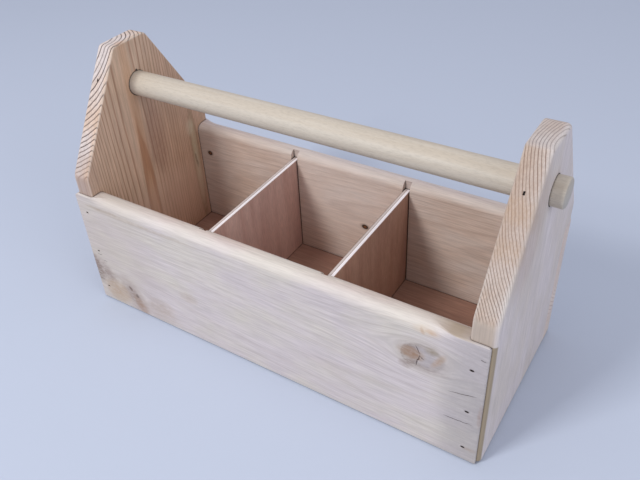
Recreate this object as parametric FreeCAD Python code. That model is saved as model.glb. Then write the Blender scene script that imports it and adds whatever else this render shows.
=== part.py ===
import FreeCAD, Part
import math
import os

os.makedirs("parts", exist_ok=True)

# A wooden tool tote: a nailed box with two tall ends, a dowel handle and two loose dividers.
# All sizes are in millimetres. X runs along the tote, Y from its front to its back, Z up.
# The origin is on the ground, midway between the two ends and midway from front to back.

# ---- Stock ----
BOARD_THICKNESS = 19.0          # sides and bottom
END_THICKNESS = 20.5
PLY_THICKNESS = 6.2             # dividers
HANDLE_DIAMETER = 24.5

# ---- Box ----
LENGTH = 433.0                  # over the outer faces of the two ends
DEPTH = 184.0                   # over the outer faces of the two side boards
SIDE_HEIGHT = 139.5
FRONT_BOARD_SHIFT = -3.5        # the front board sits this far off the middle, to the left

# ---- Ends ----
END_HEIGHT = 268.5
END_SETBACK = 2.0               # the edge above a notch lies this far behind the side board's face
SLOPE_START = 160.0             # height where the vertical edge turns into the slope
TOP_FLAT = 43.0                 # width of the level top, to its sharp corners
SLOPE_START_ROUND = 16.0
FRONT_TOP_ROUND = 5.0
BACK_TOP_ROUND = 9.0
FOOT_ROUND = 6.0
END_INNER_EASING = 2.0          # sanded arrises on the inside
END_OUTER_ROUND = 4.0           # and on the outside
THINNEST_LIP = 2.0              # an end keeps no lip thinner than this over the end of a side board

# ---- Handle ----
HANDLE_HEIGHT = 223.5           # of its axis
HANDLE_OVERHANG = 10.5          # past the outer face of each end
HANDLE_CLEARANCE = 0.5          # between the dowel and its hole, all round
HANDLE_CHAMFER = 1.0

# ---- Top edges of the side boards ----
OUTER_ROUND = 9.5               # cut after assembly, and stopped short of the ends
INNER_ROUND = 8.0               # cut before assembly, over the full length
BOARD_EASING = 1.5
FOOT_EASING = 3.0               # outer bottom arris and bottom corners of a side board
LEFT_CORNER_ROUND = 6.0         # sanded top corners at the two ends of a side board
RIGHT_CORNER_ROUND = 2.5
RUN_OUT_RADIUS = 30.0           # of the long curve in which the outer round fades out at each stop
LEFT_STOP = 16.5                # from the left end's inner face to where that curve starts
RIGHT_STOP = 32.0
CUTTER_RUN_PAST = 5.0           # how far a cutting body stands clear of the wood it cuts

# ---- Dividers and their dadoes ----
DIVIDER_SPACING = 130.0         # centre to centre of the two dadoes
DIVIDER_TOP = 130.0             # height of the dividers' top edge when they are down
DADO_WIDTH = 7.6
DADO_DEPTH = 6.0
DIVIDER_END_PLAY = 0.8          # to the floor of each dado
DIVIDER_LEFT_PLAY = 0.35        # to the left wall of each dado
DIVIDER_CHAMFER = 0.4

# ---- Nails: brads with a flat shank and a T-shaped head, punched in by a nail gun ----
NAIL_LENGTH = 50.0
NAIL_THICKNESS = 1.5            # of the shank and of the head
NAIL_SHANK_WIDTH = 1.6
NAIL_HEAD_WIDTH = 3.0
NAIL_HEAD_LENGTH = 0.9
NAIL_POINT_LENGTH = 2.5
NAIL_SET_DEPTH = 1.4            # the head lies this far below the surface
NAIL_END_INSET = 12.0           # from the end of a side board to its row of nails
RIGHT_NAIL_HEIGHTS = (17.5, 62.5, 110.5)
LEFT_NAIL_HEIGHTS = (20.0, 69.0, 118.5)
HANDLE_NAIL_HEIGHT = 240.5      # where it enters the sloping front edge, aimed at the dowel's axis
HANDLE_NAIL_SHIFT = -1.0        # to the left of the middle of the end's thickness, at both ends

# ---- Worked out from the sizes above ----
END_OUTER_X = LENGTH / 2
END_INNER_X = END_OUTER_X - END_THICKNESS
OUTER_Y = DEPTH / 2
INNER_Y = OUTER_Y - BOARD_THICKNESS
END_EDGE_Y = OUTER_Y - END_SETBACK
HANDLE_RADIUS = HANDLE_DIAMETER / 2
ALONG_X = FreeCAD.Vector(1, 0, 0)
ALONG_Y = FreeCAD.Vector(0, 1, 0)


def vector(x, y, z):
    return FreeCAD.Vector(x, y, z)


def block(low, high):
    """A box between two opposite corners."""
    size = [high[i] - low[i] for i in range(3)]
    return Part.makeBox(*size, vector(*low))


def edges_where(solid, test):
    """The edges whose two end points both pass the test."""
    return [edge for edge in solid.Edges if all(test(vertex.Point) for vertex in edge.Vertexes)]


def near(a, b):
    return abs(a - b) < 1e-4


def arris_waste(start, end, inward, across, radius):
    """What sanding takes off a straight arris: a square bar less the round that it leaves.

    The arris goes from 'start' to 'end', and 'inward' and 'across' lead away from it along its two
    faces. The bar stands clear of the wood on its outer sides.
    """
    low, high = start + inward * radius, start + across * radius
    nearest = start + (inward + across) * (radius * (1 - math.sqrt(0.5)))
    clear_in, clear_across = inward * CUTTER_RUN_PAST, across * CUTTER_RUN_PAST
    outside = [high, high - clear_in, start - clear_in - clear_across, low - clear_across, low]
    edges = [Part.Arc(low, nearest, high).toShape()] + Part.makePolygon(outside).Edges
    return Part.Face(Part.Wire(edges)).extrude(end - start)


def rounded_outline(corners, x):
    """A closed wire in the plane at x through (y, z, radius) corners, each rounded by its radius."""
    points = [vector(x, y, z) for y, z, _ in corners]
    arcs = []
    for i, (_, _, radius) in enumerate(corners):
        corner = points[i]
        to_last = (points[i - 1] - corner).normalize()
        to_next = (points[(i + 1) % len(points)] - corner).normalize()
        half_angle = to_last.getAngle(to_next) / 2
        reach = radius / math.tan(half_angle)
        bisector = (to_last + to_next).normalize()
        to_arc = radius / math.sin(half_angle) - radius
        arcs.append((corner + to_last * reach, corner + bisector * to_arc, corner + to_next * reach))
    edges = []
    for i, (start, middle, end) in enumerate(arcs):
        if corners[i][2] > 0:
            edges.append(Part.Arc(start, middle, end).toShape())
        edges.append(Part.LineSegment(end, arcs[(i + 1) % len(arcs)][0]).toShape())
    return Part.Wire(edges)


# ---- Nails ----

def nail_shape(place, aim, across, lead):
    """A nail's outline, T-shaped with a chisel point, given its thickness.

    'place' is on the surface, 'aim' is the way in, and 'across' is along the head's long side. The
    shape starts 'lead' above the nail's own head, with the head's section.
    """
    head, shank = NAIL_HEAD_WIDTH / 2, NAIL_SHANK_WIDTH / 2
    head_end = NAIL_SET_DEPTH + NAIL_HEAD_LENGTH
    tip = NAIL_SET_DEPTH + NAIL_LENGTH
    half = [
        (NAIL_SET_DEPTH - lead, head),
        (head_end, head),
        (head_end, shank),
        (tip - NAIL_POINT_LENGTH, shank),
    ]
    outline = half + [(tip, 0)] + [(depth, -offset) for depth, offset in reversed(half)]
    thick = aim.cross(across).normalize() * NAIL_THICKNESS
    points = [place - thick / 2 + aim * depth + across * offset for depth, offset in outline]
    return Part.Face(Part.makePolygon(points + points[:1])).extrude(thick)


def nail(place, aim, across):
    return nail_shape(place, aim, across, 0)


def nail_hole(place, aim, across):
    """What a nail takes out of the wood: its own shape and the slot above its head."""
    return nail_shape(place, aim, across, NAIL_SET_DEPTH + CUTTER_RUN_PAST)


def board_nail_places(side, end, shift):
    """Place, aim and head direction of each nail in the row through one end of a side board."""
    x = shift + end * (LENGTH / 2 - NAIL_END_INSET)
    heights = LEFT_NAIL_HEIGHTS if end < 0 else RIGHT_NAIL_HEIGHTS
    return [(vector(x, side * OUTER_Y, z), ALONG_Y * -side, ALONG_X) for z in heights]


def handle_nail_place(end):
    """The same for the nail that pins the handle, through the sloping front edge of an end."""
    rise = (HANDLE_NAIL_HEIGHT - SLOPE_START) / (END_HEIGHT - SLOPE_START)
    y = -END_EDGE_Y + rise * (END_EDGE_Y - TOP_FLAT / 2)
    x = end * (END_INNER_X + END_OUTER_X) / 2 + HANDLE_NAIL_SHIFT
    place = vector(x, y, HANDLE_NAIL_HEIGHT)
    aim = (vector(x, 0, HANDLE_HEIGHT) - place).normalize()
    return place, aim, aim.cross(ALONG_X).normalize()


FRONT, BACK, LEFT, RIGHT = -1, 1, -1, 1
SHIFTS = {FRONT: FRONT_BOARD_SHIFT, BACK: 0.0}
NAIL_ROWS = {(side, end): board_nail_places(side, end, SHIFTS[side])
             for side in (FRONT, BACK) for end in (LEFT, RIGHT)}


# ---- Ends ----

def notch_waste(side, end):
    """What is cut out of an end to let in a side board, whose rounded inner arris it follows.

    It runs from the end's inner face out to the tip of the board. Where the board stops well short
    of the outer face, a thin lip of the end is left beside it, down to the ground.
    """
    tip = abs(SHIFTS[side] + end * LENGTH / 2)
    has_lip = END_OUTER_X - tip > THINNEST_LIP
    reach = tip if has_lip else END_OUTER_X + CUTTER_RUN_PAST
    start = END_INNER_X - CUTTER_RUN_PAST
    clear_y = side * (OUTER_Y + CUTTER_RUN_PAST)
    corners = [
        (side * INNER_Y, -CUTTER_RUN_PAST, 0),
        (clear_y, -CUTTER_RUN_PAST, 0),
        (clear_y, SIDE_HEIGHT, 0),
        (side * INNER_Y, SIDE_HEIGHT, INNER_ROUND),
    ]
    return Part.Face(rounded_outline(corners, end * start)).extrude(ALONG_X * end * (reach - start))


def end_board(end):
    """A tall end: sloped to a level top, notched for the side boards and bored for the handle."""
    corners = [
        (-END_EDGE_Y, 0, FOOT_ROUND),
        (END_EDGE_Y, 0, FOOT_ROUND),
        (END_EDGE_Y, SLOPE_START, SLOPE_START_ROUND),
        (TOP_FLAT / 2, END_HEIGHT, BACK_TOP_ROUND),
        (-TOP_FLAT / 2, END_HEIGHT, FRONT_TOP_ROUND),
        (-END_EDGE_Y, SLOPE_START, SLOPE_START_ROUND),
    ]
    inner_x, outer_x = end * END_INNER_X, end * END_OUTER_X
    solid = Part.Face(rounded_outline(corners, inner_x)).extrude(vector(outer_x - inner_x, 0, 0))

    outer_arris = edges_where(solid, lambda p: near(p.x, outer_x))
    solid = solid.makeFillet(END_OUTER_ROUND, outer_arris)
    inner_arris = edges_where(solid, lambda p: near(p.x, inner_x) and not near(p.z, 0))
    solid = solid.makeFillet(END_INNER_EASING, inner_arris)
    hole_start = vector(min(inner_x, outer_x) - CUTTER_RUN_PAST, 0, HANDLE_HEIGHT)
    hole_length = END_THICKNESS + 2 * CUTTER_RUN_PAST
    cuts = [Part.makeCylinder(HANDLE_RADIUS + HANDLE_CLEARANCE, hole_length, hole_start, ALONG_X)]
    cuts += [notch_waste(side, end) for side in (FRONT, BACK)]
    cuts += [nail_hole(*place) for side in (FRONT, BACK) for place in NAIL_ROWS[side, end]]
    cuts.append(nail_hole(*handle_nail_place(end)))
    return solid.cut(cuts)


# ---- Side boards ----

def round_over_cutter(side, shift):
    """What the round along the outer top arris takes off, from its left stop to its right one.

    Past each stop the tool is lifted off in a long curve about a level axis that points into the
    board's face, so the round fades out before it reaches the end of the board.
    """
    axis_z = SIDE_HEIGHT + RUN_OUT_RADIUS
    face_y = side * OUTER_Y
    deep_y = face_y - side * OUTER_ROUND
    clear_y = face_y + side * CUTTER_RUN_PAST
    left_x = -END_INNER_X + LEFT_STOP
    right_x = END_INNER_X - RIGHT_STOP

    def profile(x):
        arc_middle = OUTER_ROUND * (1 - math.sqrt(0.5))
        arc = Part.Arc(
            vector(x, deep_y, SIDE_HEIGHT),
            vector(x, face_y - side * arc_middle, SIDE_HEIGHT - arc_middle),
            vector(x, face_y, SIDE_HEIGHT - OUTER_ROUND),
        )
        corners = [
            vector(x, face_y, SIDE_HEIGHT - OUTER_ROUND),
            vector(x, clear_y, SIDE_HEIGHT - OUTER_ROUND),
            vector(x, clear_y, axis_z),
            vector(x, deep_y, axis_z),
            vector(x, deep_y, SIDE_HEIGHT),
        ]
        return Part.Face(Part.Wire([arc.toShape()] + Part.makePolygon(corners).Edges))

    run = profile(left_x).extrude(ALONG_X * (right_x - left_x))
    stops = [profile(x).revolve(vector(x, 0, axis_z), ALONG_Y, 360) for x in (left_x, right_x)]
    return run.fuse(stops)


def dado(side, x):
    """A groove from top to bottom in the inner face of a side board."""
    wall = side * INNER_Y
    floor = wall + side * DADO_DEPTH
    clear = wall - side * CUTTER_RUN_PAST
    low = (x - DADO_WIDTH / 2, min(floor, clear), -CUTTER_RUN_PAST)
    high = (x + DADO_WIDTH / 2, max(floor, clear), SIDE_HEIGHT + CUTTER_RUN_PAST)
    return block(low, high)


def sanded_off(side, shift):
    """The rounds that are sanded on a side board after its arrises: its four corners and its foot."""
    tips = {LEFT: shift - LENGTH / 2, RIGHT: shift + LENGTH / 2}
    corners = [
        (LEFT, SIDE_HEIGHT, vector(0, 0, -1), LEFT_CORNER_ROUND),
        (RIGHT, SIDE_HEIGHT, vector(0, 0, -1), RIGHT_CORNER_ROUND),
        (LEFT, 0, vector(0, 0, 1), FOOT_EASING),
        (RIGHT, 0, vector(0, 0, 1), FOOT_EASING),
    ]
    clear_inner, clear_outer = side * (INNER_Y - CUTTER_RUN_PAST), side * (OUTER_Y + CUTTER_RUN_PAST)
    waste = [arris_waste(
        vector(tips[end], clear_inner, z), vector(tips[end], clear_outer, z),
        vector(-end, 0, 0), towards_middle, radius,
    ) for end, z, towards_middle, radius in corners]
    waste.append(arris_waste(
        vector(tips[LEFT] - CUTTER_RUN_PAST, side * OUTER_Y, 0),
        vector(tips[RIGHT] + CUTTER_RUN_PAST, side * OUTER_Y, 0),
        vector(0, -side, 0), vector(0, 0, 1), FOOT_EASING,
    ))
    return waste


def side_board(side):
    """A side of the box: rounded along the top, with dadoes for the dividers, nailed to the ends."""
    shift = SHIFTS[side]
    low = (shift - LENGTH / 2, min(side * INNER_Y, side * OUTER_Y), 0)
    high = (shift + LENGTH / 2, max(side * INNER_Y, side * OUTER_Y), SIDE_HEIGHT)
    solid = block(low, high)
    inner_top = edges_where(solid, lambda p: near(p.y, side * INNER_Y) and near(p.z, SIDE_HEIGHT))
    solid = solid.makeFillet(INNER_ROUND, inner_top)
    outer_loop = edges_where(solid, lambda p: near(p.y, side * OUTER_Y))
    solid = solid.makeFillet(BOARD_EASING, outer_loop)
    cuts = [dado(side, x) for x in (-DIVIDER_SPACING / 2, DIVIDER_SPACING / 2)]
    cuts += sanded_off(side, shift)
    cuts += [nail_hole(*place) for end in (LEFT, RIGHT) for place in NAIL_ROWS[side, end]]
    return solid.cut(round_over_cutter(side, shift)).cut(cuts)


# ---- Bottom, handle and dividers ----

def bottom_board():
    """The bottom lies on the ground inside the four walls and is glued to them all round."""
    return block((-END_INNER_X, -INNER_Y, 0), (END_INNER_X, INNER_Y, BOARD_THICKNESS))


def handle_dowel():
    """The handle passes through both ends and is pinned by one nail in each."""
    length = LENGTH + 2 * HANDLE_OVERHANG
    solid = Part.makeCylinder(HANDLE_RADIUS, length, vector(-length / 2, 0, HANDLE_HEIGHT), ALONG_X)
    rims = [edge for edge in solid.Edges if isinstance(edge.Curve, Part.Circle)]
    solid = solid.makeChamfer(HANDLE_CHAMFER, rims)
    return solid.cut([nail(*handle_nail_place(end)) for end in (LEFT, RIGHT)])


def divider(x):
    """A plywood divider, loose in its two dadoes and standing on the bottom board."""
    left = x - DADO_WIDTH / 2 + DIVIDER_LEFT_PLAY
    reach = INNER_Y + DADO_DEPTH - DIVIDER_END_PLAY
    solid = block((left, -reach, BOARD_THICKNESS), (left + PLY_THICKNESS, reach, DIVIDER_TOP))
    top_edges = edges_where(solid, lambda p: near(p.z, DIVIDER_TOP))
    long_edges = [edge for edge in top_edges if edge.Length > PLY_THICKNESS + 1]
    return solid.makeChamfer(DIVIDER_CHAMFER, long_edges)


def nail_group(places):
    return Part.makeCompound([nail(*place) for place in places])


NODES = {
    "left_end": end_board(LEFT),
    "right_end": end_board(RIGHT),
    "front_board": side_board(FRONT),
    "back_board": side_board(BACK),
    "bottom_board": bottom_board(),
    "handle_dowel": handle_dowel(),
    "left_divider": divider(-DIVIDER_SPACING / 2),
    "right_divider": divider(DIVIDER_SPACING / 2),
    "front_left_nails": nail_group(NAIL_ROWS[FRONT, LEFT]),
    "front_right_nails": nail_group(NAIL_ROWS[FRONT, RIGHT]),
    "back_left_nails": nail_group(NAIL_ROWS[BACK, LEFT]),
    "back_right_nails": nail_group(NAIL_ROWS[BACK, RIGHT]),
    "left_handle_nail": nail(*handle_nail_place(LEFT)),
    "right_handle_nail": nail(*handle_nail_place(RIGHT)),
}

for name, shape in NODES.items():
    shape.exportStep(os.path.join("parts", name + ".step"))
    print(f"{name}: {len(shape.Solids)} solid(s), {shape.Volume / 1000:.1f} cm3, valid {shape.isValid()}")
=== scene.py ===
import math
import bmesh
import bpy
import numpy as np
from mathutils import Matrix, Vector


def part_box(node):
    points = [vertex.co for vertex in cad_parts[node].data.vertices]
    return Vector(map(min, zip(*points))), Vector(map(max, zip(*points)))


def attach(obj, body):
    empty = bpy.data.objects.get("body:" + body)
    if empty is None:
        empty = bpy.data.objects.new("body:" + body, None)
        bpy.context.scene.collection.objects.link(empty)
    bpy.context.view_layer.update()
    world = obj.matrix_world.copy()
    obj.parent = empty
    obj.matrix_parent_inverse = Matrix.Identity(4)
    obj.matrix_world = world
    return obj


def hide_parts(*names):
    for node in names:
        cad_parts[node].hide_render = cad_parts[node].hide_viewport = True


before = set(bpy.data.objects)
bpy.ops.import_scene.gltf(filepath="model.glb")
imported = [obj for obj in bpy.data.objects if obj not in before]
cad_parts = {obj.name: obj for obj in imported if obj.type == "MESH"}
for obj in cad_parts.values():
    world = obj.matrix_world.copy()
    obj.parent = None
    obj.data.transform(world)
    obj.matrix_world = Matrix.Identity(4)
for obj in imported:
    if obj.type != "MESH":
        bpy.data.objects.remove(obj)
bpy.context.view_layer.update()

# ---- Left end ----
# A planed pine board, about 20 mm thick, with its grain upright. It is sawn to a slope, bored for
# the handle, notched for the side boards and sanded along its arrises. Its growth rings curve
# round a pith just outside its outer face, so they cross the sloping edge as short arcs.

MM = 0.001
ENDLESS = 1e6  # longer than any board, in millimetres
NOISE_LOW, NOISE_HIGH = 0.35, 0.65  # noise seldom leaves this range

# How a board lies: the turn that brings its grain to Z, and the axes of its depth, width and grain.
UPRIGHT_GRAIN = ((0.0, 0.0, 0.0), "X", "Y", "Z")
LENGTHWAYS_GRAIN = ((-math.pi / 2, -math.pi / 2, 0.0), "Y", "Z", "X")


def linear(code):
    """An sRGB hex colour as linear red, green, blue and alpha."""
    parts = [int(code[i:i + 2], 16) / 255 for i in (1, 3, 5)]
    red, green, blue = (c / 12.92 if c <= 0.04045 else ((c + 0.055) / 1.055) ** 2.4 for c in parts)
    return red, green, blue, 1.0


def add(tree, kind, inputs, **settings):
    """Adds a node with its settings. An input takes a value, an output or a node's first output."""
    node = tree.nodes.new("ShaderNode" + kind)
    for name, value in settings.items():
        setattr(node, name, value)
    for name, value in inputs.items():
        if isinstance(value, bpy.types.Node):
            value = next(output for output in value.outputs if output.enabled)
        if isinstance(value, bpy.types.NodeSocket):
            tree.links.new(value, node.inputs[name])
        else:
            node.inputs[name].default_value = value
    return node


def set_stops(ramp, stops):
    """Gives a colour ramp its (position, colour) stops."""
    elements = ramp.color_ramp.elements
    elements[0].position, elements[1].position = stops[0][0], stops[-1][0]
    for position, _ in stops[1:-1]:
        elements.new(position)
    for element, (_, colour) in zip(elements, stops):
        element.color = colour


def new_material(name):
    """A material with an empty node tree, and the tree."""
    material = bpy.data.materials.new(name)
    material.use_nodes = True
    material.node_tree.nodes.clear()
    return material, material.node_tree


def dress(node_name, material):
    """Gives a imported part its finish."""
    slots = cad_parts[node_name].data.materials
    slots.clear()
    slots.append(material)


def drawn_out(tree, place, lengths, **noise):
    """Noise whose features are about 'lengths' millimetres long on the three axes of 'place'."""
    shares = tuple(1 / length for length in lengths)
    stretched = add(tree, "VectorMath", {0: place, 1: shares}, operation="MULTIPLY")
    return add(tree, "TexNoise", {"Vector": stretched, "Scale": 1.0, **noise})


def shaken(tree, place, noise, reach):
    """Moves a place by a noise's colour, up to half of 'reach' to each side."""
    shift = add(tree, "VectorMath", {0: noise.outputs["Color"], 1: (0.5, 0.5, 0.5)},
                operation="SUBTRACT")
    return add(tree, "VectorMath", {0: shift, 1: reach, 2: place}, operation="MULTIPLY_ADD")


# How far the pith wanders and the rings ripple, and over what lengths. All patterns in pine are in
# millimetres through the depth, across the grain and along it.
WANDER, WANDER_REACH = (60.0, 60.0, 260.0), (9.0, 9.0, 0.0)
RIPPLE, RIPPLE_HEIGHT = (9.0, 9.0, 70.0), 1.3

# One year's growth: the darkness at each share of a ring, from the earlywood to the latewood. It
# starts with the softened end of the last ring. The palest year has its own share of the darkness.
YEAR = ((0.0, 0.7), (0.07, 0.04), (0.5, 0.0), (0.74, 0.14), (0.87, 1.0), (1.0, 1.0))
PALEST_YEAR = 0.65


def latewood_share(tree, flow, lean, rings):
    """How far a place is latewood, from 0 to 1.

    A ring's number is r (1 + thinning r) / width + shift, for the distance r from the pith. The
    pith leans, and both it and the rings waver. The number's fraction is the season: the wood
    darkens slowly into latewood and starts again at once. Some years are darker than others.
    """
    width, thinning, shift = rings
    along = add(tree, "SeparateXYZ", {0: flow}).outputs["Z"]
    drift = add(tree, "VectorMath", {0: (*lean, 0.0), "Scale": along}, operation="SCALE")
    drifted = add(tree, "VectorMath", {0: flow, 1: drift}, operation="ADD")
    section = shaken(tree, drifted, drawn_out(tree, flow, WANDER, Detail=1.0), WANDER_REACH)
    section = add(tree, "VectorMath", {0: section, 1: (1.0, 1.0, 0.0)}, operation="MULTIPLY")
    radius = add(tree, "VectorMath", {0: section}, operation="LENGTH")
    ripple = drawn_out(tree, flow, RIPPLE, Detail=2.0)
    radius = add(tree, "Math", {0: ripple, 1: RIPPLE_HEIGHT, 2: radius}, operation="MULTIPLY_ADD")
    count = add(tree, "Math", {0: radius, 1: thinning, 2: 1.0}, operation="MULTIPLY_ADD")
    count = add(tree, "Math", {0: radius, 1: count}, operation="MULTIPLY")
    count = add(tree, "Math", {0: count, 1: 1 / width, 2: shift}, operation="MULTIPLY_ADD")
    year = add(tree, "Math", {0: count}, operation="FLOOR")
    vigour = add(tree, "TexWhiteNoise", {"W": year}, noise_dimensions="1D")
    vigour = add(tree, "MapRange", {"Value": vigour, "To Min": PALEST_YEAR, "To Max": 1.0})
    season = add(tree, "Math", {0: count}, operation="FRACT")
    shade = add(tree, "ValToRGB", {"Fac": season})
    shade.color_ramp.interpolation = "EASE"
    set_stops(shade, [(share, (dark, dark, dark, 1.0)) for share, dark in YEAR])
    return add(tree, "Math", {0: shade, 1: vigour}, operation="MULTIPLY")


def grain_round_knot(tree, flow, pith, across, along, push):
    """Moves the pattern's place towards a knot's middle line by R^2 / (d^2 + 0.5 R^2) of the way.

    R is the 'push' and d the distance. Rings that would have run into the knot are so found
    further out, which bends them round it, as water flows round a post.
    """
    middle = (0.0, across - pith[1], along)
    offset = add(tree, "VectorMath", {0: flow, 1: middle}, operation="SUBTRACT")
    flat = add(tree, "VectorMath", {0: offset, 1: (0.0, 1.0, 0.5)}, operation="MULTIPLY")
    square = add(tree, "VectorMath", {0: flat, 1: flat}, operation="DOT_PRODUCT")
    square = add(tree, "Math", {0: square, 1: 0.5 * push ** 2}, operation="ADD")
    share = add(tree, "Math", {0: -push ** 2, 1: square}, operation="DIVIDE")
    sideways = add(tree, "VectorMath", {0: offset, 1: (0.0, 1.0, 0.0)}, operation="MULTIPLY")
    sideways = add(tree, "VectorMath", {0: sideways, "Scale": share}, operation="SCALE")
    return add(tree, "VectorMath", {0: flow, 1: sideways}, operation="ADD")


def faded(code, middle, shoulder, inner=0.9, outer=1.9):
    """Shades of one colour: its cover in the middle and at 'inner', and none from 'outer' on."""
    return (0.0, code, middle), (inner, code, shoulder), (outer, code, 0.0)


# The mottle's values at which a blemish is faintest and strongest.
FAINT_MOTTLE, STRONG_MOTTLE = 0.38, 0.6


def blemish_colour(tree, colour, wood, mottle, pith, across, along, size, shades, tilt=0.0,
                   depth=0.0, deep=ENDLESS, uneven=0.5):
    """Lays a knot, stain or bruise over the colour.

    It is an oval of half-widths 'size', across and along the grain, turned by 'tilt' degrees, and
    of half-width 'deep' into the wood. Its shades are (distance in half-widths up to 2, colour,
    cover) from its middle outwards. The noise 'mottle' makes its cover 'uneven'.
    """
    oval = add(tree, "Mapping", {
        "Vector": wood,
        "Location": (depth - pith[0], across - pith[1], along),
        "Rotation": (math.radians(tilt), 0.0, 0.0),
        "Scale": (deep * 2, size[0] * 2, size[1] * 2),
    }, vector_type="TEXTURE")
    distance = add(tree, "VectorMath", {0: oval}, operation="LENGTH")
    ramp = add(tree, "ValToRGB", {"Fac": distance})
    ramp.color_ramp.interpolation = "EASE"
    set_stops(ramp, [(far / 2, linear(code)[:3] + (cover,)) for far, code, cover in shades])
    patchy = add(tree, "MapRange", {
        "Value": mottle, "From Min": FAINT_MOTTLE, "From Max": STRONG_MOTTLE,
        "To Min": 1.0 - uneven,
    })
    cover = add(tree, "Math", {0: ramp.outputs["Alpha"], 1: patchy}, operation="MULTIPLY")
    return add(tree, "Mix", {"Factor": cover, "A": colour, "B": ramp}, data_type="RGBA")


def stain_colour(tree, colour, wood, pith, across, along, code, cover, soft):
    """Stains the wood between two places across the grain and two along it.

    The borders are 'soft': they fade over that many millimetres to each side of the place, across
    and along the grain.
    """
    middle = (0.0, sum(across) / 2 - pith[1], sum(along) / 2)
    half = (ENDLESS, (across[1] - across[0]) / 2, (along[1] - along[0]) / 2)
    softness = (0.0, 1 / soft[0], 1 / soft[1])
    offset = add(tree, "VectorMath", {0: wood, 1: middle}, operation="SUBTRACT")
    offset = add(tree, "VectorMath", {0: offset}, operation="ABSOLUTE")
    offset = add(tree, "VectorMath", {0: offset, 1: half}, operation="SUBTRACT")
    offset = add(tree, "VectorMath", {0: offset, 1: softness}, operation="MULTIPLY")
    offset = add(tree, "SeparateXYZ", {0: offset})
    outside = add(tree, "Math", {0: offset.outputs["Y"], 1: offset.outputs["Z"]},
                  operation="MAXIMUM")
    cover = add(tree, "MapRange", {
        "Value": outside, "From Min": -1.0, "From Max": 1.0, "To Min": cover, "To Max": 0.0,
    })
    return add(tree, "Mix", {"Factor": cover, "A": colour, "B": linear(code)}, data_type="RGBA")


def crack_opening(tree, ruffled, pith, start, end, width):
    """How open a crack is, from 0 to 1. It runs between two (across, along) places and tapers.

    At the share t of its length and s widths from its middle line, it is 6 t (1 - t), at most 1,
    less 2 s.
    """
    across, along = end[0] - start[0], end[1] - start[1]
    line = add(tree, "Mapping", {
        "Vector": ruffled,
        "Location": (0.0, start[0] - pith[1], start[1]),
        "Rotation": (-math.atan2(across, along), 0.0, 0.0),
        "Scale": (ENDLESS, width, math.hypot(across, along)),
    }, vector_type="TEXTURE")
    line = add(tree, "SeparateXYZ", {0: line})
    rest = add(tree, "Math", {0: 1.0, 1: line.outputs["Z"]}, operation="SUBTRACT")
    taper = add(tree, "Math", {0: line.outputs["Z"], 1: rest}, operation="MULTIPLY")
    taper = add(tree, "Math", {0: taper, 1: 6.0}, operation="MULTIPLY", use_clamp=True)
    side = add(tree, "Math", {0: line.outputs["Y"]}, operation="ABSOLUTE")
    side = add(tree, "Math", {0: side, 1: 2.0}, operation="MULTIPLY")
    return add(tree, "Math", {0: taper, 1: side}, operation="SUBTRACT", use_clamp=True)


# The painted shade in the gaps between parts: its colour, how far it reaches and its cover.
JOINT_DARK = "#2E211B"
JOINT_REACH = 1.8 * MM
JOINT_COVER = 0.9
SHUT_IN, OPEN_AIR = 0.45, 0.85  # the share of free sky at the bottom of a joint and outside it


def joint_shade(tree, colour):
    """Darkens the last millimetre before another part: painted shade in the gaps of the joints."""
    sky = add(tree, "AmbientOcclusion", {"Distance": JOINT_REACH}, samples=6).outputs["AO"]
    cover = add(tree, "MapRange", {
        "Value": sky, "From Min": SHUT_IN, "From Max": OPEN_AIR,
        "To Min": JOINT_COVER, "To Max": 0.0,
    })
    return add(tree, "Mix", {"Factor": cover, "A": colour, "B": linear(JOINT_DARK)},
               data_type="RGBA")


# Lengths of the other patterns in pine: its fibres, streaks and patches, the clouding of its
# blemishes and the raggedness of their borders. Real fibres are 0.04 mm wide and 3 mm long, too
# fine to show, so they are drawn as bundles.
FIBRE = (1.2, 1.2, 24.0)
STREAK = (4.0, 4.0, 110.0)
PATCH = (34.0, 34.0, 60.0)
MOTTLE = (2.2, 2.2, 5.0)
RUFFLE, RUFFLE_REACH = (6.0, 6.0, 6.0), (3.0, 3.0, 3.0)

# The noise of the patches where their colour starts, where it is fullest, and its cover there. How
# much the streaks and the fibres darken and lighten the wood.
CLOUD_STARTS, CLOUD_FULL, CLOUD_COVER = 0.4, 0.65, 0.85
STREAK_DARK, STREAK_LIGHT = 0.12, 0.05
FIBRE_DARK, FIBRE_LIGHT = 0.14, 0.07

# How far a surface leans along the grain where it starts to show its end grain and where it shows
# nothing else, and how far across where it starts to be a narrow side and where it is one.
END_STARTS, END_FULL = 0.15, 0.5
SIDE_STARTS, SIDE_FULL = 0.93, 0.99

# The latewood stands this high above the rest. The heights of fibres and cracks are shares of it.
RELIEF = 0.08 * MM
FIBRE_HEIGHT, CRACK_HEIGHT = 0.6, -5.0

EARLYWOOD_ROUGH, LATEWOOD_ROUGH = 0.68, 0.5
ARRIS_HIGHLIGHT, ARRIS_HIGHLIGHT_COVER = "#E6DFD5", 0.3  # a painted highlight along the sanded arrises, and its cover
CRACK_DARK = "#3A2A24"


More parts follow.
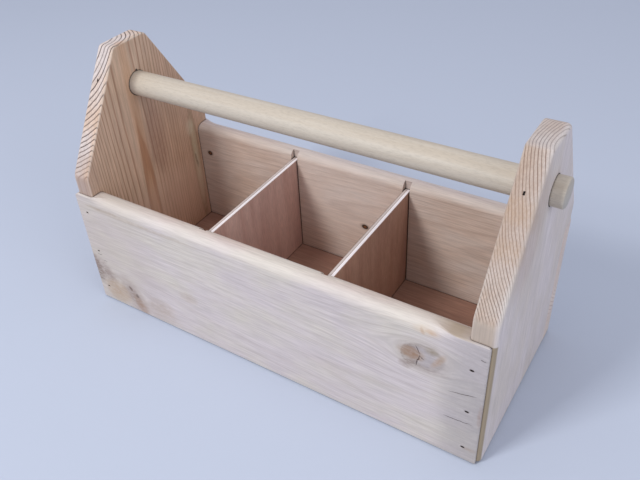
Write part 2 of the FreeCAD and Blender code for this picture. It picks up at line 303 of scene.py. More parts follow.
def pine(name, grain, pith, lean, rings, inside, outside, faces, cloud, latewood, contrast,
         edge=None, streaky=1.0, gritty=1.0, knots=(), blemishes=(), spots=(), stains=(),
         cracks=()):
    """Sawn and sanded pine as solid wood, so that the rings carry on round every arris.

    To the eye it is pale and dull, with brown latewood lines that are faint on a face, dark and
    sharp where the cut runs across the grain, and a little glossier than the wood between them.

    The pattern works in millimetres from the pith: depth, across and along the grain. 'lean' is how
    far the pith drifts in depth and across for each millimetre along, and 'rings' is their width, a
    thinning and a shift. 'inside' and 'outside' are the earlywood's colours on the two faces, which
    lie at the two 'faces' depths; 'inside' is warmer, with painted shade and warm bounce light from
    inside the box. 'cloud' is the colour of its paler or warmer patches.
    'latewood' and 'contrast' are the latewood's colour and cover, on a face and where the cut runs
    across the grain. 'edge' is the colour of the narrow sides and its cover. 'streaky' and 'gritty'
    are the strengths of the streaks and of the fibres. 'knots' push the grain aside. 'blemishes'
    have ragged edges, 'spots' have clean ones, 'stains' are straight-sided and 'cracks' are thin
    dark lines, sunk into the wood.
    """
    turn, depth_axis, across_axis, grain_axis = grain
    material, tree = new_material(name)
    place = add(tree, "TexCoord", {})
    wood = add(tree, "Mapping", {
        "Vector": place.outputs["Object"],
        "Location": (-pith[0], -pith[1], 0.0),
        "Rotation": turn,
        "Scale": (1 / MM, 1 / MM, 1 / MM),
    })
    ruffle = drawn_out(tree, wood, RUFFLE, Detail=3.0, Roughness=0.6)
    ruffled = shaken(tree, wood, ruffle, RUFFLE_REACH)
    flow = wood
    for knot in knots:
        flow = grain_round_knot(tree, flow, pith, **knot)
    late = latewood_share(tree, flow, lean, rings)
    fibre = drawn_out(tree, flow, FIBRE, Detail=2.0, Roughness=0.6)

    # How far the surface is cut across the grain, and how much painted highlight a sanded round
    # gets: f (1 - f) is highest halfway between the face and the edge, for the square f of the
    # face's share.
    normal = add(tree, "SeparateXYZ", {0: place.outputs["Normal"]})
    steep = add(tree, "Math", {0: normal.outputs[grain_axis]}, operation="ABSOLUTE")
    steep = add(tree, "MapRange", {"Value": steep, "From Min": END_STARTS, "From Max": END_FULL})
    facing = add(tree, "Math", {0: normal.outputs[depth_axis], 1: 2.0}, operation="POWER")
    turned = add(tree, "Math", {0: 1.0, 1: facing}, operation="SUBTRACT")
    arris_highlight = add(tree, "Math", {0: facing, 1: turned}, operation="MULTIPLY")
    arris_highlight = add(tree, "Math", {0: arris_highlight, 1: 4 * ARRIS_HIGHLIGHT_COVER}, operation="MULTIPLY")

    # The earlywood, from face to face, warmer towards the inner face with painted shade and bounce
    # light, and its patches and streaks.
    depth = add(tree, "SeparateXYZ", {0: place.outputs["Object"]}).outputs[depth_axis]
    depth = add(tree, "MapRange", {"Value": depth, "From Min": faces[0], "From Max": faces[1]})
    colour = add(tree, "Mix", {"Factor": depth, "A": linear(inside), "B": linear(outside)},
                 data_type="RGBA")
    patch = add(tree, "MapRange", {
        "Value": drawn_out(tree, flow, PATCH, Detail=4.0),
        "From Min": CLOUD_STARTS, "From Max": CLOUD_FULL, "To Max": CLOUD_COVER,
    })
    colour = add(tree, "Mix", {"Factor": patch, "A": colour, "B": linear(cloud)},
                 data_type="RGBA")
    streak = add(tree, "MapRange", {
        "Value": drawn_out(tree, flow, STREAK, Detail=3.0),
        "From Min": NOISE_LOW, "From Max": NOISE_HIGH,
        "To Min": 1.0 - STREAK_DARK * streaky, "To Max": 1.0 + STREAK_LIGHT * streaky,
    })
    colour = add(tree, "Mix", {"Factor": 1.0, "A": colour, "B": streak},
                 data_type="RGBA", blend_type="MULTIPLY")

    # The latewood, the fibres, the painted highlight on the sanded rounds and the narrow sides.
    cover = add(tree, "MapRange", {"Value": steep, "To Min": contrast[0], "To Max": contrast[1]})
    cover = add(tree, "Math", {0: late, 1: cover}, operation="MULTIPLY")
    dark = add(tree, "Mix", {"Factor": steep, "A": linear(latewood[0]), "B": linear(latewood[1])},
               data_type="RGBA")
    colour = add(tree, "Mix", {"Factor": cover, "A": colour, "B": dark}, data_type="RGBA")
    grit = add(tree, "MapRange", {
        "Value": fibre, "From Min": NOISE_LOW, "From Max": NOISE_HIGH,
        "To Min": 1.0 - FIBRE_DARK * gritty, "To Max": 1.0 + FIBRE_LIGHT * gritty,
    })
    colour = add(tree, "Mix", {"Factor": 1.0, "A": colour, "B": grit},
                 data_type="RGBA", blend_type="MULTIPLY")
    colour = add(tree, "Mix", {"Factor": arris_highlight, "A": colour, "B": linear(ARRIS_HIGHLIGHT)},
                 data_type="RGBA")
    if edge:
        side = add(tree, "Math", {0: normal.outputs[across_axis]}, operation="ABSOLUTE")
        side = add(tree, "MapRange", {
            "Value": side, "From Min": SIDE_STARTS, "From Max": SIDE_FULL, "To Max": edge[1],
        })
        colour = add(tree, "Mix", {"Factor": side, "A": colour, "B": linear(edge[0])},
                     data_type="RGBA")

    mottle = drawn_out(tree, wood, MOTTLE, Detail=3.0, Roughness=0.6)
    for blemish in blemishes:
        colour = blemish_colour(tree, colour, ruffled, mottle, pith, **blemish)
    for spot in spots:
        colour = blemish_colour(tree, colour, wood, mottle, pith, uneven=0.0, **spot)
    for stain in stains:
        colour = stain_colour(tree, colour, wood, pith, **stain)
    height = add(tree, "Math", {0: fibre, 1: FIBRE_HEIGHT, 2: late}, operation="MULTIPLY_ADD")
    for crack in cracks:
        opening = crack_opening(tree, ruffled, pith, **crack)
        colour = add(tree, "Mix", {"Factor": opening, "A": colour, "B": linear(CRACK_DARK)},
                     data_type="RGBA")
        height = add(tree, "Math", {0: opening, 1: CRACK_HEIGHT, 2: height},
                     operation="MULTIPLY_ADD")

    rough = add(tree, "MapRange", {
        "Value": late, "To Min": EARLYWOOD_ROUGH, "To Max": LATEWOOD_ROUGH,
    })
    relief = add(tree, "Bump", {"Height": height, "Distance": RELIEF, "Strength": 0.8})
    shader = add(tree, "BsdfPrincipled", {
        "Base Color": joint_shade(tree, colour), "Roughness": rough, "IOR": 1.5,
        "Specular IOR Level": 0.3, "Normal": relief,
    })
    add(tree, "OutputMaterial", {"Surface": shader})
    return material


# A nail's rim: the torn and darkened fibres round its head, with the painted shade of its hole.
NAIL_RIM = (
    (0.0, "#15110F", 1.0), (0.7, "#1C1714", 1.0), (1.0, "#4A3C34", 0.4), (1.4, "#4A3C34", 0.0),
)
INNER_SHADE_DEPTH = 5 * MM  # how deep the painted shade and bounce light of an end's inner face reach into the board
left_low, left_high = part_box("left_end")
INNER_FACE = {"depth": left_high.x / MM, "deep": 8.0}  # for marks that stay off the outer face
dress("left_end", pine(
    "sanded pine, left end", UPRIGHT_GRAIN,
    pith=(left_low.x / MM - 12.2, -15.4), lean=(0.0, 0.0), rings=(7.06, 0.01224, 0.27),
    inside="#D3B59B", outside="#DACDC7", faces=(left_high.x, left_high.x - INNER_SHADE_DEPTH),
    cloud="#D8B9A0", latewood=("#844726", "#412D25"), contrast=(0.54, 1.0),
    edge=("#A58E80", 0.6), streaky=0.8,
    blemishes=(
        # brown heartwood at the back, an orange band, and below the handle a red band: partly
        # darker wood, partly the handle's painted shadow
        dict(INNER_FACE, across=48.0, along=80.0, size=(36.0, 110.0), uneven=0.2,
             shades=faded("#AC7858", 0.38, 0.3, inner=0.7)),
        dict(INNER_FACE, across=-11.5, along=135.0, size=(5.5, 140.0), uneven=0.2,
             shades=faded("#C48C5E", 0.42, 0.32, inner=0.8, outer=1.7)),
        dict(INNER_FACE, across=9.0, along=156.0, size=(10.0, 30.0), uneven=0.2,
             shades=faded("#85584A", 0.42, 0.34, inner=0.8)),
        # a pale stripe with a dark seam beside the back board
        dict(INNER_FACE, across=64.0, along=97.0, size=(4.5, 55.0),
             shades=((0.0, "#C6BA9E", 1.0), (0.8, "#BBAA8C", 0.8),
                     (1.3, "#8F7359", 0.5), (1.6, "#8F7359", 0.0))),
        dict(INNER_FACE, across=63.0, along=99.0, size=(1.4, 9.0), tilt=6.0,
             shades=faded("#5E4636", 0.8, 0.6, inner=0.8, outer=1.5)),
        # painted light near the bottom, darker wood on the narrow side, and a pale patch
        dict(INNER_FACE, across=10.0, along=66.0, size=(60.0, 30.0), uneven=0.2,
             shades=faded("#ECCBB6", 0.34, 0.26, inner=0.8)),
        dict(across=-92.0, along=152.0, size=(13.0, 36.0), uneven=0.2,
             shades=faded("#A4897A", 0.4, 0.34, inner=0.8)),
        dict(INNER_FACE, across=60.0, along=143.0, size=(4.0, 7.0),
             shades=faded("#D8CAB0", 0.6, 0.4, inner=0.8)),
    ),
    # the rim of the handle's nail, with the painted shade of its hole
    spots=(dict(across=1.0, along=236.5, size=(1.2, 1.2), shades=NAIL_RIM),),
))

# ---- Right end ----
# The same board for the other side. Its pith lay further out, so its rings run nearly along the
# sloping edge as fine upright lines.

_, right_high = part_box("right_end")
nail_low, nail_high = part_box("right_handle_nail")
nail_middle = (nail_low + nail_high) / 2 / MM
dress("right_end", pine(
    "sanded pine, right end", UPRIGHT_GRAIN,
    pith=(right_high.x / MM + 55.1, -4.7), lean=(0.0, 0.0), rings=(18.9, 0.05, 0.1),
    inside="#BFAB9B", outside="#D4CBCB", faces=(right_high.x - INNER_SHADE_DEPTH, right_high.x),
    cloud="#CFC5BE", latewood=("#8A7468", "#684C3E"), contrast=(0.16, 0.95),
    edge=("#BBB0A2", 0.4), streaky=0.35,
    # the slope is browner towards its top, with two tan marks
    blemishes=(
        dict(across=-48.0, along=222.0, size=(22.0, 40.0), uneven=0.2,
             shades=faded("#A88A74", 0.42, 0.32)),
        dict(across=-44.0, along=226.0, size=(7.0, 12.0), tilt=30.0,
             shades=faded("#B8956C", 0.2, 0.15, outer=1.6)),
        dict(across=-60.0, along=203.0, size=(6.0, 10.0), tilt=30.0,
             shades=faded("#B8956C", 0.2, 0.15, outer=1.6)),
    ),
    # the torn rim of the handle's nail, wider below the head, with the painted shade of its hole
    spots=(
        dict(across=nail_middle.y - 0.8, along=nail_middle.z - 1.2, size=(2.3, 2.3),
             depth=nail_middle.x + 0.6, deep=1.9, shades=NAIL_RIM),
    ),
    # the grey sawn top, and the brown lip beside the front board
    stains=(
        dict(across=(-30.0, 30.0), along=(267.5, 280.0), code="#C8C6CC", cover=0.22,
             soft=(1.0, 0.8)),
        dict(across=(-95.0, -87.0), along=(-5.0, 139.5), code="#918064", cover=0.85,
             soft=(0.8, 0.5)),
    ),
))

# ---- Front board ----
# A flat-sawn pine board, nailed into the notches of both ends. Its face is pale and cloudy, with
# faint rings, a large knot near the right end, and a dark one with bark beside it at the left.

DARK_BARK = "#4E3B32"
RIGHT_NAIL_HEIGHTS = (17.5, 62.5, 110.5)
front_low, front_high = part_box("front_board")
dress("front_board", pine(
    "sanded pine, front board", LENGTHWAYS_GRAIN,
    pith=(front_low.y / MM + 45, 48.0), lean=(0.035, 0.02), rings=(5.0, 0.0, 0.0),
    inside="#CDB6A6", outside="#D0C6C5", faces=(front_high.y, front_low.y),
    cloud="#D2CABF", latewood=("#94796A", "#94796A"), contrast=(0.12, 0.3),
    streaky=0.2, gritty=0.85,
    knots=(
        dict(across=105.0, along=160.0, push=18.0),
        dict(across=27.0, along=-168.0, push=11.0),
    ),
    blemishes=(
        # the large knot: a grey heart, an orange-brown side, an olive side and a dark lower lip
        dict(across=104.0, along=162.0, size=(12.0, 16.0), uneven=0.3,
             shades=((0.0, "#9C9498", 0.6), (0.7, "#968C90", 0.6), (1.0, "#84756C", 0.55),
                     (1.25, "#A6988E", 0.3), (1.9, "#B5A79A", 0.0))),
        dict(across=102.0, along=150.0, size=(10.0, 7.5), uneven=0.6,
             shades=((0.0, "#9A8A80", 0.4), (0.6, "#907E74", 0.5), (1.0, "#7E6C62", 0.65),
                     (1.2, "#A6988E", 0.2), (1.8, "#B5A79A", 0.0))),
        dict(across=104.0, along=151.5, size=(5.0, 8.0), uneven=0.3,
             shades=((0.0, "#967254", 0.85), (0.8, "#A08064", 0.65), (1.8, "#AA8C70", 0.0))),
        dict(across=113.5, along=168.5, size=(3.0, 4.5), uneven=0.3,
             shades=((0.0, "#8A7A5C", 0.6), (0.8, "#94866C", 0.4), (1.8, "#94866C", 0.0))),
        dict(across=105.5, along=174.5, size=(7.5, 2.4), tilt=30.0, uneven=0.3,
             shades=((0.0, "#B08A66", 0.6), (0.8, "#B6946E", 0.4), (1.8, "#B6946E", 0.0))),
        dict(across=89.0, along=146.5, size=(3.0, 4.0),
             shades=((0.0, "#83706A", 0.6), (1.0, "#8A7468", 0.35), (1.9, "#8A7468", 0.0))),
        dict(across=92.0, along=164.0, size=(2.0, 14.0),
             shades=faded("#9A8C88", 0.4, 0.25, inner=1.0)),
        # orange resin above the large knot
        dict(across=132.3, along=163.0, size=(2.8, 8.0), uneven=0.3,
             shades=faded("#CBB08C", 0.4, 0.25, inner=1.0)),
        dict(across=133.0, along=166.5, size=(1.3, 3.4), uneven=0.3,
             shades=((0.0, "#BE9468", 0.5), (1.0, "#BE9468", 0.3), (1.9, "#C8A67A", 0.0))),
        dict(across=131.6, along=159.4, size=(2.2, 1.0), tilt=-25.0, uneven=0.0,
             shades=((0.0, "#B48C66", 0.5), (1.0, "#B48C66", 0.3), (1.9, "#C8A67A", 0.0))),
        # the dark knot at the left, its brown lower side and its two black dots
        dict(across=21.0, along=-168.5, size=(18.0, 9.0), tilt=-27.0, uneven=0.4,
             shades=((0.0, "#7A6055", 0.8), (0.6, "#88726A", 0.7), (1.1, "#9A877E", 0.45),
                     (1.9, "#A48C80", 0.0))),
        dict(across=12.0, along=-162.0, size=(9.0, 4.0), tilt=-27.0, uneven=0.3,
             shades=((0.0, "#966C4C", 0.6), (0.9, "#9E7656", 0.4), (1.9, "#A88468", 0.0))),
        dict(across=31.3, along=-172.2, size=(2.6, 1.6), tilt=-30.0, uneven=0.2,
             shades=faded(DARK_BARK, 1.0, 0.7, outer=1.6)),
        dict(across=23.8, along=-164.8, size=(2.0, 2.0), uneven=0.2,
             shades=faded(DARK_BARK, 1.0, 0.7, outer=1.6)),
        # the bark at the board's tip, and the tan wood beside it
        dict(across=43.0, along=-217.5, size=(15.0, 5.0), tilt=-7.0, uneven=0.6,
             shades=((0.0, DARK_BARK, 1.0), (0.8, "#65524A", 0.9), (1.7, "#7A665A", 0.0))),
        dict(across=43.0, along=-208.0, size=(14.0, 8.0), tilt=-30.0, uneven=0.65,
             shades=((0.0, "#6E5B52", 0.8), (0.9, "#85706A", 0.6), (1.9, "#9B8880", 0.0))),
        dict(across=38.0, along=-198.0, size=(6.0, 9.0), tilt=-10.0, uneven=0.8,
             shades=((0.0, "#85706A", 0.45), (0.9, "#8B7870", 0.3), (1.9, "#9B8880", 0.0))),
        dict(across=19.0, along=-194.0, size=(12.0, 14.0), uneven=0.4,
             shades=((0.0, "#AE8B68", 0.75), (0.9, "#B3946F", 0.55), (1.6, "#B3967A", 0.0))),
        # tan smudges to the right of the dark knot, and duller wood towards the left end
        dict(across=24.0, along=-130.0, size=(7.0, 13.0),
             shades=((0.0, "#A59078", 0.45), (0.9, "#AC9882", 0.3), (1.9, "#B8A48C", 0.0))),
        dict(across=12.0, along=-138.0, size=(8.0, 20.0),
             shades=((0.0, "#A38E76", 0.35), (0.9, "#AE9A84", 0.25), (1.9, "#B8A48C", 0.0))),
        dict(across=55.0, along=-88.0, size=(4.5, 8.0), uneven=0.3,
             shades=((0.0, "#A8927E", 0.4), (0.9, "#AC9884", 0.3), (1.9, "#B8A48C", 0.0))),
        dict(across=75.0, along=-200.0, size=(80.0, 50.0), uneven=0.1,
             shades=faded("#B5A69C", 0.35, 0.28, inner=0.8)),
        # greyer wood by the nails at the right, with a brown trail beside two of them
        dict(across=60.0, along=212.0, size=(80.0, 24.0), uneven=0.2,
             shades=faded("#A29C9C", 0.75, 0.6, inner=0.8)),
        dict(across=17.0, along=206.5, size=(1.6, 4.5), uneven=0.3,
             shades=((0.0, "#9C8672", 0.55), (0.9, "#A08C7A", 0.35), (1.9, "#A08C7A", 0.0))),
        dict(across=62.0, along=212.0, size=(9.0, 1.6), uneven=0.3,
             shades=((0.0, "#96786A", 0.5), (0.9, "#A08678", 0.35), (1.9, "#A08678", 0.0))),
        # the line that the cutter left below the round, in two lengths
        dict(across=128.5, along=-184.0, size=(1.2, 18.0), shades=faded("#A5907A", 0.65, 0.4)),
        dict(across=126.5, along=-135.0, size=(1.8, 44.0), shades=faded("#AC9A86", 0.5, 0.35)),
    ),
    # the rims of the nails at the right, with the painted shade of their holes
    spots=[
        dict(across=height, along=201.0, size=(1.1, 1.9), shades=NAIL_RIM)
        for height in RIGHT_NAIL_HEIGHTS
    ],
    # painted shade from the right end darkens the flat of the top edge where the round-over stops
    stains=(
        dict(across=(138.8, 145.0), along=(172.0, 196.5), code="#A8967F", cover=0.75,
             soft=(0.4, 9.0)),
    ),
    # three at the right, two at the left, and three that meet in the large knot
    cracks=(
        dict(start=(77.5, 183.2), end=(83.6, 208.3), width=1.0),
        dict(start=(47.3, 179.3), end=(48.7, 209.1), width=1.0),
        dict(start=(125.0, 206.0), end=(124.2, 211.5), width=1.0),
        dict(start=(65.0, -211.5), end=(64.0, -204.0), width=0.9),
        dict(start=(57.5, -204.0), end=(57.0, -198.5), width=0.9),
        dict(start=(114.5, 154.5), end=(105.0, 158.8), width=1.0),
        dict(start=(106.5, 158.6), end=(90.5, 155.6), width=1.2),
        dict(start=(104.0, 158.0), end=(101.0, 163.0), width=0.9),
    ),
))

# ---- Back board ----
# The same board for the back, turned so that its clean face is inside. It has two small dark knots
# with a brown middle.

SMALL_KNOT = (
    (0.0, "#8A5A3C", 1.0), (0.45, "#6E452E", 1.0), (0.75, "#2A1A12", 1.0),
    (1.0, "#3A2A20", 0.8), (1.25, "#8E6E5A", 0.35), (2.0, "#A88C78", 0.0),
)
LEFT_KNOT = {"across": 106.6, "along": -182.7}
MIDDLE_KNOT = {"across": 71.8, "along": 19.6}
back_low, back_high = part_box("back_board")
dress("back_board", pine(
    "sanded pine, back board", LENGTHWAYS_GRAIN,
    pith=(back_high.y / MM + 30, 84.0), lean=(0.035, -0.012), rings=(3.6, 0.0, 0.0),
    inside="#D9C3B4", outside="#D3CCCE", faces=(back_low.y, back_high.y),
    cloud="#DFD0C6", latewood=("#8E6A58", "#8E6A58"), contrast=(0.17, 0.5),
    streaky=0.4, gritty=0.9,
    knots=(dict(LEFT_KNOT, push=5.0), dict(MIDDLE_KNOT, push=5.0)),
    # painted light on the middle of the inner face, and painted shade at the left
    blemishes=(
        dict(across=105.0, along=-8.0, size=(34.0, 44.0), uneven=0.2,
             shades=faded("#EFE3DC", 0.34, 0.28)),
        dict(across=110.0, along=-140.0, size=(40.0, 45.0), uneven=0.2,
             shades=faded("#BFA391", 0.25, 0.2)),
    ),
    spots=(
        dict(LEFT_KNOT, size=(2.6, 3.0), shades=SMALL_KNOT),
        dict(MIDDLE_KNOT, size=(2.6, 3.6), shades=SMALL_KNOT),
    ),
))

# ---- Bottom board ----
# A browner pine board that lies on the ground inside the four walls and keeps them square. It is
# glued to them all round, with no nails.

dress("bottom_board", pine(
    "sanded pine, bottom", LENGTHWAYS_GRAIN,
    pith=(20.0, -60.0), lean=(0.0, 0.02), rings=(4.0, 0.0, 0.0),
    inside="#AC8674", outside="#AC8674", faces=(-0.08, 0.08),
    cloud="#A07868", latewood=("#6E4636", "#6E4636"), contrast=(0.16, 0.4), streaky=0.8,
))

# ---- Handle ----
# A turned hardwood dowel, smooth and unfinished, with its rims broken. It passes through both ends,
# and a nail in each end pins it.

AROUND, LENGTHWISE = 128, 220
HANDLE_RIM = 1.0 * MM

# The sander leaves low waves: lobes round the dowel, which twist by so many radians for each radius
# along it, and swell and fade by so many radians for each metre.
HANDLE_WAVE = 0.06 * MM
LOBES, TWIST, SWELL = 3, 0.9, 40

# Real pores are 0.1 mm wide and 2 mm long, too fine to show, so they are drawn coarser. Both
# lengths are in millimetres along the handle and across it.
PORE = (5.0, 0.8, 0.8)
BAND = (160.0, 5.0, 5.0)

# The brightness of a pore, and the cover of the grey on a sawn tip.
PORE_SHADE, TIP_COVER = 0.87, 0.7
handle_low, handle_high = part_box("handle_dowel")


def lathe_mesh(name, low, high, rim, across_steps, along_steps):
    """A dowel along X as a surface of two parameters, turn u and length v.

    Its point is r cos u behind and r sin u above the middle line at v. The radius r is the full one
    less the wave's height times 0.5 + 0.5 sin(lobes u + twist v / radius) cos(swell v). At each tip
    it draws in over the rim and then goes straight to the middle.
    """
    middle_y, middle_z = (low.y + high.y) / 2, (low.z + high.z) / 2
    full = (high.z - low.z) / 2
    turn = np.linspace(0.0, 2 * math.pi, across_steps, endpoint=False)
    run = np.linspace(low.x + rim, high.x - rim, along_steps)
    x = np.concatenate([[low.x, low.x], run, [high.x, high.x]])
    radius = np.concatenate([[0.0, full - rim], np.full(along_steps, full), [full - rim, 0.0]])
    lobes = np.sin(LOBES * turn[None, :] + TWIST * x[:, None] / full)
    wave = 0.5 + 0.5 * lobes * np.cos(SWELL * x[:, None])
    reach = radius[:, None] - HANDLE_WAVE * wave * (radius > full / 2)[:, None]
    points = np.stack([
        np.broadcast_to(x[:, None], reach.shape),
        middle_y + reach * np.cos(turn)[None, :],
        middle_z + reach * np.sin(turn)[None, :],
    ], axis=-1).reshape(-1, 3)
    row, column = np.meshgrid(np.arange(len(x) - 1), np.arange(across_steps), indexing="ij")
    following = (column + 1) % across_steps
    quads = np.stack([
        row * across_steps + column, (row + 1) * across_steps + column,
        (row + 1) * across_steps + following, row * across_steps + following,
    ], axis=-1).reshape(-1, 4)
    mesh = bpy.data.meshes.new(name)
    mesh.from_pydata(points.tolist(), [], quads.tolist())
    return mesh


def join_poles(mesh):
    """Joins the points of each tip into one, turns all faces outwards and smooths them."""
    work = bmesh.new()
    work.from_mesh(mesh)
    bmesh.ops.remove_doubles(work, verts=work.verts, dist=1e-7)
    bmesh.ops.recalc_face_normals(work, faces=work.faces)
    work.to_mesh(mesh)
    work.free()
    mesh.shade_smooth()


handle_mesh = lathe_mesh("handle", handle_low, handle_high, HANDLE_RIM, AROUND, LENGTHWISE)
join_poles(handle_mesh)
handle = bpy.data.objects.new("handle", handle_mesh)
bpy.context.scene.collection.objects.link(handle)
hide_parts("handle_dowel")
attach(handle, "box")

# The dowel is pale cream with fine lengthwise pores, a soft sheen and greyer sawn tips.
dowel, tree = new_material("smooth hardwood dowel")
place = add(tree, "TexCoord", {})
millimetres = add(tree, "VectorMath", {0: place.outputs["Object"], 1: (1 / MM, 1 / MM, 1 / MM)},
                  operation="MULTIPLY")
pore = drawn_out(tree, millimetres, PORE, Detail=2.0, Roughness=0.6)
band = add(tree, "MapRange", {
    "Value": drawn_out(tree, millimetres, BAND, Detail=2.0),
    "From Min": NOISE_LOW, "From Max": NOISE_HIGH,
})
colour = add(tree, "Mix", {"Factor": band, "A": linear("#C1B5A4"), "B": linear("#CAC0B1")},
             data_type="RGBA")
pore_shade = add(tree, "MapRange", {
    "Value": pore, "From Min": 0.3, "From Max": 0.55, "To Min": PORE_SHADE, "To Max": 1.0,
})
colour = add(tree, "Mix", {"Factor": 1.0, "A": colour, "B": pore_shade},
             data_type="RGBA", blend_type="MULTIPLY")
tip = add(tree, "SeparateXYZ", {0: place.outputs["Normal"]}).outputs["X"]
tip = add(tree, "Math", {0: tip}, operation="ABSOLUTE")
tip = add(tree, "MapRange", {"Value": tip, "From Min": 0.5, "From Max": 0.9, "To Max": TIP_COVER})
colour = add(tree, "Mix", {"Factor": tip, "A": colour, "B": linear("#A8A39C")}, data_type="RGBA")
shader = add(tree, "BsdfPrincipled", {
    "Base Color": joint_shade(tree, colour), "Roughness": 0.5, "IOR": 1.5,
    "Specular IOR Level": 0.4,
    "Normal": add(tree, "Bump", {"Height": pore, "Distance": 0.05 * MM, "Strength": 0.5}),
})
add(tree, "OutputMaterial", {"Surface": shader})
handle_mesh.materials.append(dowel)

# ---- Dividers ----
# Thin three-ply boards with a brown face veneer, loose in their dadoes. The grain of the face
# stands upright. The sawn edges show the pale core and the thin veneers beside it.

# Millimetres through the board, across it and along its grain. Real vessels are 0.2 mm wide, too
# fine to show, so they are drawn coarser.
VESSEL = (3.0, 1.0, 9.0)
STRIPE = (3.0, 12.0, 140.0)
PIT_SHADE, RIDGE_SHADE = 0.82, 1.05  # the brightness of a vessel and of the wood beside it
# The colours of the sawn edge, from share to share of the thickness.
PLIES = (
    (0.0, "#7D6255"), (0.1, "#CDBFB8"), (0.42, "#8E7466"), (0.49, "#F4ECEC"),
    (0.93, "#A98C80"), (1.0, "#A98C80"),
)


def plywood(name, left, thickness, dark, light):
    """Unfinished three-ply, with its layers set out from its left face, at 'left' metres along X.

    To the eye it is dull red-brown, striped lengthwise and finely pitted, with a striped edge.
    """
    material, tree = new_material(name)
    place = add(tree, "TexCoord", {})
    millimetres = add(tree, "VectorMath", {0: place.outputs["Object"], 1: (1 / MM, 1 / MM, 1 / MM)},
                      operation="MULTIPLY")
    vessel = drawn_out(tree, millimetres, VESSEL, Detail=3.0, Roughness=0.65)
    stripe = add(tree, "MapRange", {
        "Value": drawn_out(tree, millimetres, STRIPE, Detail=2.0),
        "From Min": NOISE_LOW, "From Max": NOISE_HIGH,
    })
    veneer = add(tree, "Mix", {"Factor": stripe, "A": linear(dark), "B": linear(light)},
                 data_type="RGBA")
    pits = add(tree, "MapRange", {
        "Value": vessel, "From Min": 0.3, "From Max": 0.62,
        "To Min": PIT_SHADE, "To Max": RIDGE_SHADE,
    })
    veneer = add(tree, "Mix", {"Factor": 1.0, "A": veneer, "B": pits},
                 data_type="RGBA", blend_type="MULTIPLY")
    layer = add(tree, "SeparateXYZ", {0: place.outputs["Object"]}).outputs["X"]
    layer = add(tree, "MapRange", {"Value": layer, "From Min": left, "From Max": left + thickness})
    plies = add(tree, "ValToRGB", {"Fac": layer})
    plies.color_ramp.interpolation = "CONSTANT"
    set_stops(plies, [(share, linear(code)) for share, code in PLIES])
    face = add(tree, "SeparateXYZ", {0: place.outputs["Normal"]}).outputs["X"]
    face = add(tree, "Math", {0: face}, operation="ABSOLUTE")
    face = add(tree, "Math", {0: face, 1: 0.8}, operation="GREATER_THAN")
    colour = add(tree, "Mix", {"Factor": face, "A": plies, "B": veneer}, data_type="RGBA")
    shader = add(tree, "BsdfPrincipled", {
        "Base Color": joint_shade(tree, colour), "Roughness": 0.62, "IOR": 1.5,
        "Specular IOR Level": 0.3,
        "Normal": add(tree, "Bump", {"Height": vessel, "Distance": 0.08 * MM, "Strength": 0.7}),
    })
    add(tree, "OutputMaterial", {"Surface": shader})
    return material


# The left divider's veneer is paler than the right one's: partly its own colour, partly painted
# light for the brighter light that falls on it.
for name, dark, light in (
    ("left_divider", "#C8A296", "#D4B2A6"),
    ("right_divider", "#B48A78", "#C29A86"),
):
    ply_low, ply_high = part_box(name)
    dress(name, plywood("plywood, " + name, ply_low.x, ply_high.x - ply_low.x, dark, light))

# ---- Nails ----
# Flat steel brads from a nail gun, driven through the side boards and the ends. A thin dark oxide
# dulls them, so they are only partly metal to the eye, and their heads are worn a little brighter.

WEAR = 0.6 * MM
steel, tree = new_material("oxidised steel brads")
place = add(tree, "TexCoord", {})
worn = add(tree, "TexNoise", {"Vector": place.outputs["Object"], "Scale": 1 / WEAR, "Detail": 3.0})
worn = add(tree, "MapRange", {"Value": worn, "From Min": 0.5, "From Max": 0.75})
colour = add(tree, "Mix", {"Factor": worn, "A": linear("#0E0C0C"), "B": linear("#2C2827")},
             data_type="RGBA")
rough = add(tree, "MapRange", {"Value": worn, "To Min": 0.75, "To Max": 0.5})
shader = add(tree, "BsdfPrincipled", {"Base Color": colour, "Roughness": rough, "Metallic": 0.3})
add(tree, "OutputMaterial", {"Surface": shader})
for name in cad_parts:
    if name.endswith(("_nails", "_nail")):
        dress(name, steel)

# ---- Floor and light ----
# A sheet of pale blue-grey paper, matt so that it gives no glare, a bright sky of studio walls, one
# soft lamp high at the front left, a wide one overhead and a weak one at the right.

FLOOR_REACH = 6.0
corners = [(x * FLOOR_REACH, y * FLOOR_REACH, 0) for x, y in ((-1, -1), (1, -1), (1, 1), (-1, 1))]
floor_mesh = bpy.data.meshes.new("floor")
floor_mesh.from_pydata(corners, [], [(0, 1, 2, 3)])
floor = bpy.data.objects.new("floor", floor_mesh)
bpy.context.scene.collection.objects.link(floor)
paper, tree = new_material("pale paper floor")
shader = add(tree, "BsdfPrincipled", {
    "Base Color": linear("#C0C8D8"), "Roughness": 0.9, "Specular IOR Level": 0.1,
})
add(tree, "OutputMaterial", {"Surface": shader})
floor_mesh.materials.append(paper)

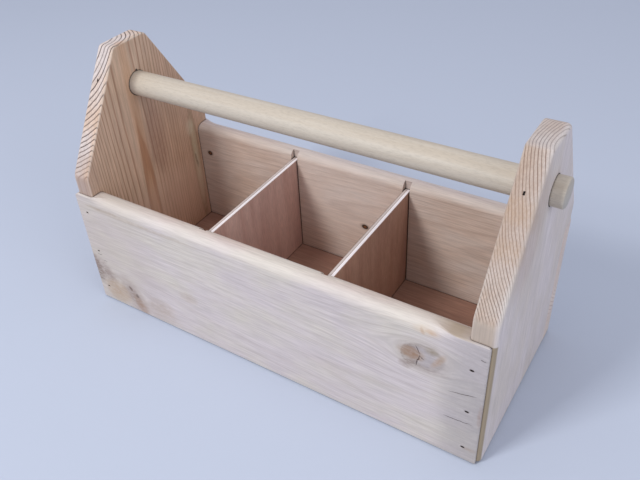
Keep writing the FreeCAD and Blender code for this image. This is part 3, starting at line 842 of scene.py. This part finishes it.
WALLS_LIGHT, WALLS_SEEN = 0.58, 0.85  # how bright the walls shine, and how bright they look
world = bpy.data.worlds.new("studio")
bpy.context.scene.world = world
world.use_nodes = True
tree = world.node_tree
tree.nodes.clear()
rays = add(tree, "LightPath", {})
seen = add(tree, "Math", {0: rays.outputs["Is Camera Ray"], 1: rays.outputs["Is Glossy Ray"]},
           operation="MAXIMUM")
seen = add(tree, "Math", {0: seen, 1: rays.outputs["Is Transmission Ray"]}, operation="MAXIMUM")
strength = add(tree, "MapRange", {"Value": seen, "To Min": WALLS_LIGHT, "To Max": WALLS_SEEN})
sky = add(tree, "Background", {"Color": linear("#F1F3FF"), "Strength": strength})
add(tree, "OutputWorld", {"Surface": sky})


def softbox(name, place, target, size, power):
    """A square lamp at 'place' that faces 'target'."""
    light = bpy.data.lights.new(name, "AREA")
    light.shape = "SQUARE"
    light.size = size
    light.energy = power
    lamp = bpy.data.objects.new(name, light)
    bpy.context.scene.collection.objects.link(lamp)
    lamp.location = place
    lamp.rotation_euler = (Vector(target) - Vector(place)).to_track_quat("-Z", "Y").to_euler()


TOTE_MIDDLE = (0.0, 0.0, 0.1)
softbox("key", place=(-0.74, -1.77, 1.70), target=TOTE_MIDDLE, size=0.6, power=31.0)
softbox("overhead", place=(-0.15, -0.1, 2.1), target=TOTE_MIDDLE, size=1.4, power=5.0)
softbox("fill", place=(1.7, -0.5, 1.0), target=TOTE_MIDDLE, size=1.2, power=8.0)

# ---- Camera ----
# It stands to the right of the front and looks down at the tote, turned a little anticlockwise.
# Angles are in degrees, lengths in metres, and the lens and its sensor in millimetres.

LENS = 39.92
SENSOR = 36.0
SHIFT = (0.03496, -0.00724)
AZIMUTH, ELEVATION, ROLL = (math.radians(angle) for angle in (35.755, 37.348, -4.544))
CAMERA_PLACE = (0.30929, -0.45142, 0.52162)
lens = bpy.data.cameras.new("camera")
lens.lens = LENS
lens.sensor_width = SENSOR
lens.shift_x, lens.shift_y = SHIFT
camera = bpy.data.objects.new("camera", lens)
bpy.context.scene.collection.objects.link(camera)
turn = Matrix.Rotation(AZIMUTH, 4, "Z") @ Matrix.Rotation(math.pi / 2 - ELEVATION, 4, "X")
camera.matrix_world = Matrix.Translation(CAMERA_PLACE) @ turn @ Matrix.Rotation(ROLL, 4, "Z")
bpy.context.scene.camera = camera

bpy.context.scene.view_settings.view_transform = "Standard"
